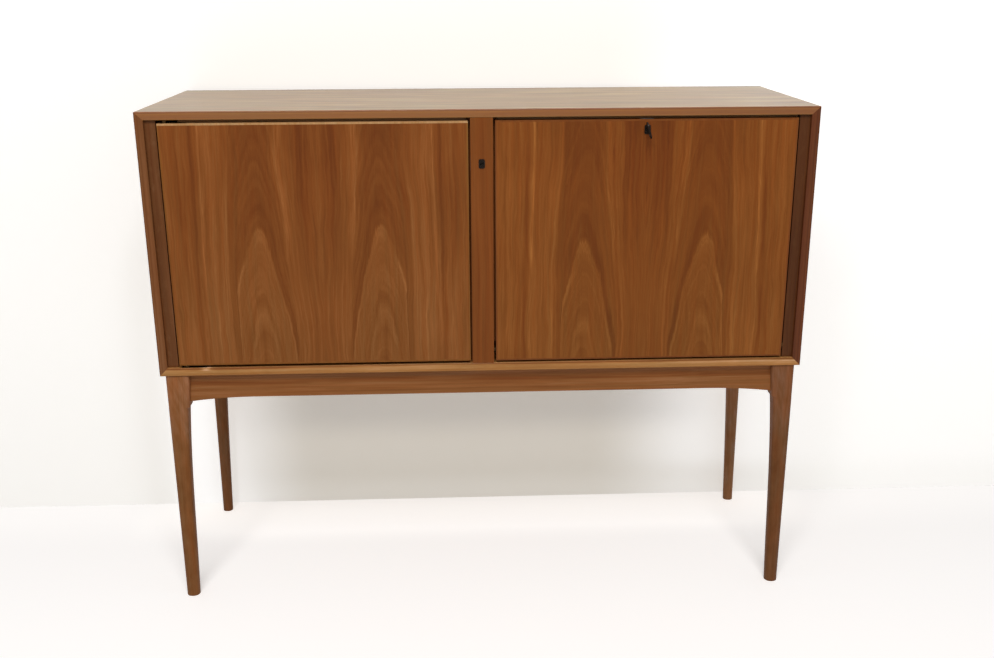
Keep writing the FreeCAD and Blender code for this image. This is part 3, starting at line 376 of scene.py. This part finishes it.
# ------------------------------------------------------ metal and laminate
def metal(name, colour, dark, roughness, scale=6.0, seed=0.0, metallic=1.0):
    """Metal with fine scratches, and cloudy dark tarnish of about the scale in mm."""
    shader = Shader(name)
    x, y, z = shader.place()
    cloud = shader.noise(x / scale, y / scale, z / scale + seed, 3.0)
    scratch = shader.noise(x / 0.6, y / 4.0, z / 0.6 + seed, 2.0)
    spots = shader.step(shader.noise(x / 2.2, y / 2.2, z / 2.2 + seed, 3.0), 0.7, 1.3)
    shader.set("Base Color", shader.mix(
        shader.math("ADD", cloud * 0.22 + 0.3, spots * 0.35, clamp=True),
        linear(*colour), linear(*dark)))
    shader.set("Metallic", metallic)
    shader.set("Roughness", roughness + cloud * 0.05 + scratch * 0.03)
    shader.bump(scratch * 0.4 + cloud, 0.00002, 0.4)
    return shader.material


def laminate():
    """Pale laminate, a little cloudy and scuffed."""
    shader = Shader("laminate")
    x, y, z = shader.place()
    speckle = shader.noise(x / 0.7, y / 0.7, z / 0.7, 2.0)
    cloud = shader.noise(x / 60.0, y / 60.0, z / 60.0, 3.0)
    scuff = shader.noise(x / 9.0, y / 2.2, z / 9.0 + 4.0, 2.0)
    colour = shader.ramp(
        shader.math("ADD", cloud * 0.12 + speckle * 0.05 + 0.5, scuff * 0.02, clamp=True),
        ((0.0, (196, 184, 158)), (0.5, (216, 206, 182)), (1.0, (228, 220, 200))))
    shader.set("Base Color", colour)
    shader.set("Roughness", 0.34 + cloud * 0.05 + scuff * 0.03)
    shader.bump(speckle, 0.00002, 0.3)
    return shader.material


def dress(material, *names):
    """Gives the named nodes one material."""
    for name in names:
        mesh = NODES[name].data
        mesh.materials.clear()
        mesh.materials.append(material)


def smooth(name, degrees=28.0):
    """Shades a node smooth except at edges sharper than this."""
    mesh = NODES[name].data
    mesh.polygons.foreach_set("use_smooth", [True] * len(mesh.polygons))
    mesh.set_sharp_from_angle(angle=math.radians(degrees))


for node_name in NODES:
    smooth(node_name)


# --------------------------------------------------------------------- case
def edge_depth_and_fray(shader, places, deep):
    """A panel's front edge: wandering depth from the outer face, fray, where it shows."""
    along = places[0] + places[2]
    wander = shader.noise(along / 90.0, deep / 9.0, 0.7, 2.0)
    fray = shader.noise(along / 16.0, deep / 1.2, 3.1, 2.0)
    return deep + wander * 0.7, fray, shader.step(places[1], 4.0, 2.0)


def top_shade(shader, places):
    """Streaked veneer behind the front edge, which is darker and more orange, with a painted shade
    line and a painted highlight across it.
    """
    x, y, z = places
    mottle = shader.noise(x / 150.0, y / 48.0, 2.0, 2.0, 0.5)
    streaks = shader.noise(x / 420.0, y / 13.0, 5.0, 3.0, 0.6)
    blush = shader.noise(x / 170.0, y / 40.0, 8.0, 2.0, 0.5)
    behind = shader.step(y, 3.0, 6.0)
    veneer = mottle * 0.20 + streaks * 0.36 + shader.step(x, -250.0, 520.0) * 0.10 - 0.08
    veneer = veneer + shader.peak(y - 9.0, 4.5) * 0.2 - shader.step(y, 380.0, 396.0) * 0.35
    deep, fray, front = edge_depth_and_fray(shader, places, TOP_HIGH[2] - z)
    # A painted shade line just under the top arris and a painted highlight below it, frayed like
    # grain.
    lines = shader.peak(deep - 1.9, 1.1) * -0.24 + shader.peak(deep - 4.3, 1.4) * 0.13
    lines = lines - shader.step(x, 250.0, 500.0) * 0.05 - 0.30
    edge = front * (lines * (1.0 + fray * 0.2) + fray * 0.06)
    hue = behind * (blush * 1.1 - 1.5) - shader.peak(y - 9.0, 4.5) * 0.8 + front * 1.9
    return behind * veneer + edge, hue


def bottom_shade(shader, places):
    """A front edge with painted light along its middle, painted shade on its lower arris, the
    door's shadow painted along its top with a painted highlight just under it, and one rubbed spot.
    """
    x, y, z = places
    deep, fray, front = edge_depth_and_fray(shader, places, z - BOTTOM_LOW[2])
    rub = shader.peak(x + 514.0, 9.0) * shader.step(deep, 8.0, 12.0) * shader.step(y, 20.0, 10.0)
    lit = shader.noise(x / 75.0, 1.0, 1.0, 2.0)
    # A painted highlight just under the door's painted shadow, towards the right.
    gleam = shader.step(x, 300.0, 420.0) * shader.peak(deep - 10.4, 2.0)
    lines = shader.peak(deep - 0.4, 0.8) * -0.20 + shader.peak(deep - 3.0, 1.3) * -0.07
    lines = lines + shader.peak(deep - 8.5, 3.0) * (0.04 + lit * 0.06) + gleam * 0.2
    # The door's shadow, painted along the upper side of the edge.
    lines = lines - shader.step(deep, 10.8, 13.8) * 0.80
    edge = front * (lines * (1.0 + fray * 0.2) + fray * 0.06)
    return rub * 0.75 + edge, front * lit * 0.5


def side_edge(shader, places, deep):
    """Fine lines along a side panel's front edge: painted shade on its outer arris, then painted
    light and shade in turn across the bevel, frayed like grain.
    """
    deep, fray, front = edge_depth_and_fray(shader, places, deep)
    lines = shader.peak(deep - 0.7, 0.9) * -0.36 + shader.peak(deep - 3.2, 1.3) * 0.10
    lines = lines + shader.peak(deep - 5.6, 1.0) * -0.15 + shader.peak(deep - 8.6, 2.0) * 0.10
    return front * (lines * (1.0 + fray * 0.35) + fray * 0.05)


# Behind this depth a side panel shows its faces and not its front edge.
EDGE_DEPTH, FACE_DEPTH = 20.0, 24.0


def left_shade(shader, places):
    """A lined front edge, paler low down, and faces made paler with painted light."""
    low = shader.step(places[2], 720.0, 480.0) * 0.08
    # Painted light on the faces behind the front edge.
    face = shader.step(places[1], EDGE_DEPTH, FACE_DEPTH) * 0.28
    edge = side_edge(shader, places, places[0] - LEFT_LOW[0])
    return edge + low + face - 0.03, low * 2.0 - 0.1


def right_shade(shader, places):
    """A dark, lined front edge and faces made much paler with painted light."""
    # Painted light on the faces behind the front edge.
    face = shader.step(places[1], EDGE_DEPTH, FACE_DEPTH)
    edge = side_edge(shader, places, RIGHT_HIGH[0] - places[0])
    return edge + face * 0.54 - 0.39, face * 0.9 - 0.4


def left_strip_shade(shader, places):
    """Painted shade towards the side panel, paler towards the door, with olive gleams."""
    x, _, z = places
    gleam = shader.step(shader.noise(x / 12.0, z / 26.0, 6.0, 2.0, 0.6), 0.1, 0.9)
    # Painted shade: darker towards the side panel, paler towards the door.
    across = shader.step(x, LEFT_STRIP_LOW[0], LEFT_STRIP_HIGH[0], -0.10, 0.08)
    return across + gleam * 0.16, gleam * -0.5


def right_strip_shade(shader, places):
    """Painted shade towards the side panel, paler towards the flap and the top, with olive gleams.
    """
    x, _, z = places
    gleam = shader.step(shader.noise(x / 10.0, z / 30.0, 9.0, 2.0, 0.6), 0.1, 0.9)
    high = shader.step(z, 700.0, 930.0)
    # Painted shade: darker towards the side panel, paler towards the flap.
    across = shader.step(x, RIGHT_STRIP_LOW[0] - 12.0, RIGHT_STRIP_LOW[0] + 7.0, 0.07, -0.09)
    return across + gleam * 0.14 + high * 0.08, gleam * -0.7 + 0.2


dress(straight_wood("top_walnut", 0, 1.0, walnut(159, 112, 47), gloss=0.3, level=0.5,
                    stripe=40.0, contrast=0.55, shade=top_shade), "case_top_panel")
dress(straight_wood("bottom_walnut", 0, 2.0, walnut(165, 115, 63), gloss=0.42, level=0.25,
                    stripe=14.0, contrast=0.9, shade=bottom_shade), "case_bottom_panel")
dress(straight_wood("left_walnut", 2, 3.0, walnut(114, 68, 32), shade=left_shade),
      "case_left_panel")
dress(straight_wood("right_walnut", 2, 4.0, walnut(116, 65, 35), shade=right_shade),
      "case_right_panel")
dress(straight_wood("stile_walnut", 2, 5.0, walnut(123, 67, 24), level=0.13,
                    stripe=14.0, contrast=0.9), "centre_stile")
dress(straight_wood("left_strip_walnut", 2, 6.0, walnut(103, 61, 29), gloss=0.46, level=0.15,
                    stripe=7.0, shade=left_strip_shade), "left_front_strip")
dress(straight_wood("right_strip_walnut", 2, 7.0, walnut(85, 47, 19), gloss=0.46, level=0.15,
                    stripe=6.0, shade=right_strip_shade), "right_front_strip")


# ---------------------------------------------------------------- leg frame
def leg_shade(shader, places):
    """Paler and more orange towards the head, with slanting figure and patches."""
    x, y, z = places
    upper = shader.step(z, 240.0, 440.0)
    patches = shader.noise(x / 15.0, z / 38.0, y / 30.0, 3.0, 0.6)
    slanted = shader.noise((x + z * 0.3) / 6.0, (z - x) / 70.0, 4.0, 2.0)
    blush = shader.noise(x / 18.0, z / 60.0, y / 40.0 + 7.0, 2.0)
    return upper * (0.22 + slanted * 0.10) + patches * 0.11, upper * 1.3 + blush * 1.2


# Painted light: the back legs, in shade under the case, are given paler colours, the right one
# most.
LEGS = (
    ("front_left_leg", (127, 82, 45)),
    ("front_right_leg", (112, 71, 40)),
    ("back_left_leg", (129, 85, 52)),
    ("back_right_leg", (157, 111, 76)),
)
for index, (node_name, colour) in enumerate(LEGS):
    dress(straight_wood("leg_walnut_" + str(index), 2, 11.0 + index, walnut(*colour), gloss=0.52,
                        level=0.12, stripe=12.0, contrast=0.65, shade=leg_shade, patch=0.05),
          node_name)


def rail_shade(shader, places):
    """The case's shadow edge, painted at one line: darker and more orange just over it, with
    painted light paler again up under the case.
    """
    z = places[2]
    # Painted shadow edge of the case, with painted light above it.
    above = shader.step(z, 441.6, 443.2)
    return above * (shader.step(z, 447.0, 460.0) * 0.34 - 0.17) + 0.06, above * 0.4


RAIL = walnut(134, 82, 39)
dress(straight_wood("front_rail_walnut", 0, 15.0, RAIL, gloss=0.46, level=0.18, stripe=11.0,
                    contrast=1.1, shade=rail_shade), "front_rail")
dress(straight_wood("back_rail_walnut", 0, 16.0, RAIL, gloss=0.46, level=0.18, stripe=11.0),
      "back_rail")
dress(straight_wood("side_rail_walnut", 1, 17.0, RAIL, gloss=0.46, level=0.18, stripe=11.0),
      "left_rail", "right_rail")

# ------------------------------------------------------------------- fronts
dress(front_veneer("door_veneer", DOOR_LOW, DOOR_HIGH, seam_x=-291.5, arch_drop=0.0, skew=2.0,
                   bend=65.0, seed=0.0, colours=walnut(126, 71, 27)), "door_panel")
dress(front_veneer("flap_veneer", FLAP_LOW, FLAP_HIGH, seam_x=296.0, arch_drop=28.0, skew=5.0,
                   bend=25.0, seed=40.0, colours=walnut(124, 68, 22)), "flap_panel")


def door_edge_shade(shader, places):
    """The top lipping is pale, partly worn wood and partly a painted highlight along its arris; the
    right one, a little paler than the others, has a fainter painted highlight down its arris.
    """
    x, _, z = places
    # Partly wear and partly a painted highlight, on the top lipping and on the right one's arris.
    top = shader.step(z, DOOR_HIGH[2] - 3.8, DOOR_HIGH[2] - 3.2)
    right = shader.step(x, DOOR_HIGH[0] - 1.6, DOOR_HIGH[0] - 0.4)
    return top * 0.66 + right * 0.25 - 0.26, top * -0.6


dress(straight_wood("door_lipping", 2, 21.0, walnut(147, 97, 46), level=0.15, stripe=9.0,
                    contrast=0.7, shade=door_edge_shade), "door_lippings")
dress(straight_wood("flap_lipping", 2, 22.0, walnut(118, 65, 25), level=0.15, stripe=9.0,
                    contrast=0.7), "flap_lippings")
dress(laminate(), "flap_laminate")

# ----------------------------------------------------------------- interior
INSIDE = walnut(178, 133, 88)
dress(straight_wood("inside_upright", 2, 31.0, INSIDE, gloss=0.5, level=0.3, stripe=26.0,
                    contrast=0.7), "centre_partition")
dress(straight_wood("inside_level", 0, 32.0, INSIDE, gloss=0.48, level=0.3, stripe=26.0,
                    contrast=0.7), "cupboard_shelf", "bar_shelf")
dress(straight_wood("inside_block", 0, 33.0, INSIDE, gloss=0.55, level=0.3, stripe=8.0,
                    contrast=0.7), "door_stop", "flap_stops")
dress(straight_wood("back_ply", 2, 34.0, walnut(156, 112, 69), gloss=0.58, level=0.25,
                    stripe=40.0, contrast=0.9), "back_panel")
dress(straight_wood("corner_block", 0, 35.0, walnut(186, 144, 98), gloss=0.62, level=0.25,
                    stripe=6.0), "corner_blocks")

# -------------------------------------------------------------------- metal
BRASS = metal("brass", (168, 132, 74), (96, 70, 36), 0.38)
# A dark copy of the brass for fittings in the gaps: partly tarnish, partly painted shade.
AGED_AND_SHADED_BRASS = metal("aged_and_shaded_brass", (74, 55, 33), (38, 28, 18), 0.6, scale=4.0, seed=3.0)
BRONZE = metal("dark_bronze", (34, 27, 22), (15, 12, 10), 0.42, scale=3.0, seed=2.0, metallic=0.85)
STEEL = metal("steel", (164, 164, 166), (104, 104, 108), 0.36, scale=5.0, seed=5.0)
dress(BRASS, "cupboard_shelf_pins", "bar_shelf_pins", "stay_brackets", "stay_rod_left",
      "stay_rod_right", "stay_guide_left", "stay_guide_right", "stay_guide_mounts",
      "door_lock_bolt", "flap_lock_bolt", "door_strike_plate", "flap_strike_plate")
dress(AGED_AND_SHADED_BRASS, "door_hinge_case_plates", "door_hinge_door_plates", "flap_pivot_pins",
      "flap_pivot_bushes", "case_hinge_screws", "door_hinge_screws")
dress(BRONZE, "door_escutcheon", "flap_escutcheon", "door_lock_plug", "flap_lock_plug", "flap_key")
dress(STEEL, "back_panel_screws", "frame_screws", "door_lock_case", "flap_lock_case")


# -------------------------------------------------------------------- stage
LIT_SHADE = (0.72, 0.71, 0.70, 1)


def stage_plane(name, corners, shade, glow, lifted, lift, bounces=True):
    """A pale plane, clear from behind.

    What the camera and reflections see of it is its shade with a glow added, which goes
    over into lifted as painted light and is dimmed as painted shade where lift says so. All other
    light meets LIT_SHADE.
    """
    mesh = bpy.data.meshes.new(name)
    mesh.from_pydata([Vector(corner) for corner in corners], [], [(0, 1, 2, 3)])
    plane = bpy.data.objects.new(name, mesh)
    scene.collection.objects.link(plane)
    shader = Shader(name)
    tree = shader.tree
    tree.nodes.remove(shader.bsdf)
    diffuse = tree.nodes.new("ShaderNodeBsdfDiffuse")
    emission = tree.nodes.new("ShaderNodeEmission")
    both = tree.nodes.new("ShaderNodeAddShader")
    rays = tree.nodes.new("ShaderNodeLightPath")
    seen = Value(shader, rays.outputs["Is Camera Ray"])
    for ray in ("Is Glossy Ray", "Is Transmission Ray"):
        seen = shader.math("MAXIMUM", seen, Value(shader, rays.outputs[ray]))
    shader.put(diffuse.inputs[0], shader.mix(seen, LIT_SHADE, (*shade, 1)))
    share, dim = lift(shader, *shader.place())
    shader.put(emission.inputs["Color"], shader.mix(share, (*glow, 1), (*lifted, 1)))
    shader.put(emission.inputs["Strength"], seen * dim)
    tree.links.new(diffuse.outputs[0], both.inputs[0])
    tree.links.new(emission.outputs[0], both.inputs[1])
    sides = tree.nodes.new("ShaderNodeNewGeometry")
    clear = tree.nodes.new("ShaderNodeBsdfTransparent")
    choose = tree.nodes.new("ShaderNodeMixShader")
    tree.links.new(sides.outputs["Backfacing"], choose.inputs[0])
    tree.links.new(both.outputs[0], choose.inputs[1])
    tree.links.new(clear.outputs[0], choose.inputs[2])
    tree.links.new(choose.outputs[0], shader.output.inputs[0])
    plane.visible_shadow = bounces
    plane.visible_diffuse = bounces
    mesh.materials.append(shader.material)


def floor_painted_light(shader, x, y, z):
    """Painted light: towards the wall, most under the case, the floor is brighter, lifting the
    case's shadow.
    """
    aside = shader.step(shader.absolute(x), 620.0, 820.0)
    return shader.step(y, 190.0, 400.0) * (1.0 - aside * 0.75), 1.0


def wall_painted_light_and_shade(shader, x, y, z):
    """Painted light beyond both ends of the case, narrowing its shadow on the wall, and painted
    shade close under it.
    """
    # Painted light on the wall beyond the right end of the case.
    right_painted_light = shader.step(x, 250.0, 520.0) * (1.0 - shader.step(x, 560.0, 850.0) * 0.7)
    right_painted_light = right_painted_light * (1.0 - shader.step(z, 110.0, 30.0) * 0.4)
    right_painted_light = right_painted_light * shader.step(z, 1300.0, 700.0)
    # Painted light on the wall beyond the left end of the case.
    left_painted_light = shader.step(x, -370.0, -600.0) * (1.0 - shader.step(x, -630.0, -760.0))
    left_painted_light = left_painted_light * shader.step(z, 800.0, 300.0)
    # Painted shade on the wall close under the case.
    close = shader.step(z, 140.0, 225.0) * shader.step(z, 600.0, 500.0)
    close = close * shader.step(shader.absolute(x), 620.0, 320.0)
    return right_painted_light * 0.85 + left_painted_light * 0.8, 1.0 - close * 0.33


# The stage in metres. The wall stands close behind the case.
WALL_DISTANCE = 0.418
WALL_Y = CASE_FRONT / 1000 + WALL_DISTANCE
WALL_TOP = 7
REACH = 9
FLOOR_CORNERS = [(-REACH, -REACH, 0), (REACH, -REACH, 0), (REACH, REACH, 0), (-REACH, REACH, 0)]
WALL_CORNERS = [(-REACH, WALL_Y, 0), (REACH, WALL_Y, 0), (REACH, WALL_Y, WALL_TOP),
                (-REACH, WALL_Y, WALL_TOP)]
stage_plane("floor", FLOOR_CORNERS, shade=(0.86, 0.85, 0.84), glow=(0.34, 0.325, 0.315),
            lifted=(0.58, 0.55, 0.52), lift=floor_painted_light)
stage_plane("wall", WALL_CORNERS, shade=(0.85, 0.88, 0.93), glow=(0.31, 0.27, 0.20),
            lifted=(0.62, 0.60, 0.57), lift=wall_painted_light_and_shade, bounces=False)

# The world is white to the camera and in reflections, and lights the part less.
WORLD_LIGHT = 0.3

world = bpy.data.worlds.new("studio")
scene.world = world
world.use_nodes = True
world_tree = world.node_tree
background = world_tree.nodes["Background"]
world_rays = world_tree.nodes.new("ShaderNodeLightPath")
seen_share = world_rays.outputs["Is Camera Ray"]
for ray in ("Is Transmission Ray", "Is Glossy Ray"):
    either = world_tree.nodes.new("ShaderNodeMath")
    either.operation = "MAXIMUM"
    world_tree.links.new(seen_share, either.inputs[0])
    world_tree.links.new(world_rays.outputs[ray], either.inputs[1])
    seen_share = either.outputs[0]
strength = world_tree.nodes.new("ShaderNodeMapRange")
strength.inputs["To Min"].default_value = WORLD_LIGHT
strength.inputs["To Max"].default_value = 1.0
world_tree.links.new(seen_share, strength.inputs[0])
world_tree.links.new(strength.outputs[0], background.inputs["Strength"])
background.inputs["Color"].default_value = (1.0, 1.0, 1.0, 1.0)


def area_light(name, location, target, width, height, power):
    """A soft light in metres and watts, turned to its target."""
    light = bpy.data.lights.new(name, "AREA")
    light.shape = "RECTANGLE"
    light.size = width
    light.size_y = height
    light.energy = power
    lamp = bpy.data.objects.new(name, light)
    lamp.location = location
    direction = Vector(target) - Vector(location)
    lamp.rotation_euler = direction.to_track_quat("-Z", "Y").to_euler()
    scene.collection.objects.link(lamp)


area_light("key", (-0.2, -3.1, 3.9), (0.0, 0.0, 0.6), width=2.4, height=1.4, power=150.0)

# ------------------------------------------------------------------- camera
CAMERA_MM = (-52.84, -1925.71 + CASE_FRONT, 1156.87)
PITCH, YAW, ROLL = 17.531, -2.333, 0.2374
SENSOR_MM = 36.0
LENS_MM = 39.525
turn = (
    Matrix.Rotation(math.radians(YAW), 3, "Z")
    @ Matrix.Rotation(math.radians(-PITCH), 3, "X")
    @ Matrix.Rotation(math.radians(ROLL), 3, "Y")
)
right = turn @ Vector((1, 0, 0))
ahead = turn @ Vector((0, 1, 0))
up = turn @ Vector((0, 0, 1))
camera_data = bpy.data.cameras.new("camera")
camera_data.sensor_fit = "HORIZONTAL"
camera_data.sensor_width = SENSOR_MM
camera_data.lens = LENS_MM
camera_data.clip_start = 0.01
camera = bpy.data.objects.new("camera", camera_data)
camera.matrix_world = Matrix((
    (right.x, up.x, -ahead.x, CAMERA_MM[0] / 1000),
    (right.y, up.y, -ahead.y, CAMERA_MM[1] / 1000),
    (right.z, up.z, -ahead.z, CAMERA_MM[2] / 1000),
    (0, 0, 0, 1),
))
scene.collection.objects.link(camera)
scene.camera = camera
scene.view_settings.view_transform = "Standard"
